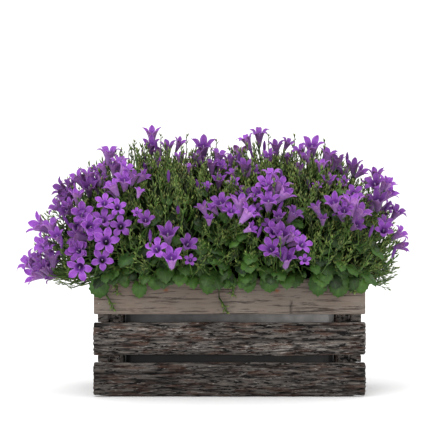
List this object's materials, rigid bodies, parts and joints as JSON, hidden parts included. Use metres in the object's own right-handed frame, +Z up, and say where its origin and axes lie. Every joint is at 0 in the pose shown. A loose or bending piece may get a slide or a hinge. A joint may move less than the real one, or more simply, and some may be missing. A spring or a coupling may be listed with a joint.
{
  "type": "potted bellflower in a wooden crate",
  "caption": "Potted bellflower: mounds of violet five-lobed bells over toothed leaves, growing in a low crate of bark-edged slabs with a grey liner.",
  "frame": {"origin": "middle of the crate's underside, on the lower face of the middle floor board", "axes": "+X along the crate's length, -Y out of the crate's front, +Z up"},
  "size_m": [0.3264, 0.24, 0.224],
  "materials": {
    "bark": "matte",
    "sawn_wood": "matte",
    "liner": "matte",
    "soil": "matte",
    "foliage": "satin",
    "petals": "satin"
  },
  "bodies": {
    "root": {"crate_back_low": "bark", "crate_back_middle": "bark", "crate_back_top": "sawn_wood", "crate_floor_back": "sawn_wood", "crate_floor_front": "sawn_wood", "crate_floor_middle": "sawn_wood", "crate_front_low": "bark", "crate_front_middle": "bark", "crate_front_top": "sawn_wood", "crate_left_low": "bark", "crate_left_middle": "bark", "crate_left_top": "sawn_wood", "crate_post_left_back": "bark", "crate_post_left_front": "bark", "crate_post_right_back": "bark", "crate_post_right_front": "bark", "crate_right_low": "bark", "crate_right_middle": "bark", "crate_right_top": "sawn_wood", "liner": "liner", "plant_left": "foliage", "plant_right": "foliage", "soil": "soil", "spray_left_crown_left": "petals", "spray_left_crown_right": "petals", "spray_left_crown_top": "petals", "spray_left_far_left_high": "petals", "spray_left_far_left_low": "petals", "spray_left_left_shoulder": "petals", "spray_left_left_stars": "petals", "spray_left_low_middle": "petals", "spray_left_middle_spikes": "petals", "spray_left_middle_stars": "petals", "spray_left_rear_crown_left": "petals", "spray_left_rear_left_stars": "petals", "spray_left_rear_low_middle": "petals", "spray_left_rear_middle_stars": "petals", "spray_left_right_edge": "petals", "spray_left_right_low": "petals", "spray_left_right_upper": "petals", "spray_left_shoulder_right": "petals", "spray_left_small_star": "petals", "spray_right_crown_right": "petals", "spray_right_crown_top": "petals", "spray_right_low_middle": "petals", "spray_right_middle_spikes": "petals", "spray_right_rear_crown_left": "petals", "spray_right_rear_left_stars": "petals", "spray_right_rear_low_middle": "petals", "spray_right_rear_middle_stars": "petals", "spray_right_right_edge": "petals", "spray_right_right_low": "petals", "spray_right_right_upper": "petals", "spray_right_shoulder_right": "petals"}
  },
  "joints": []
}
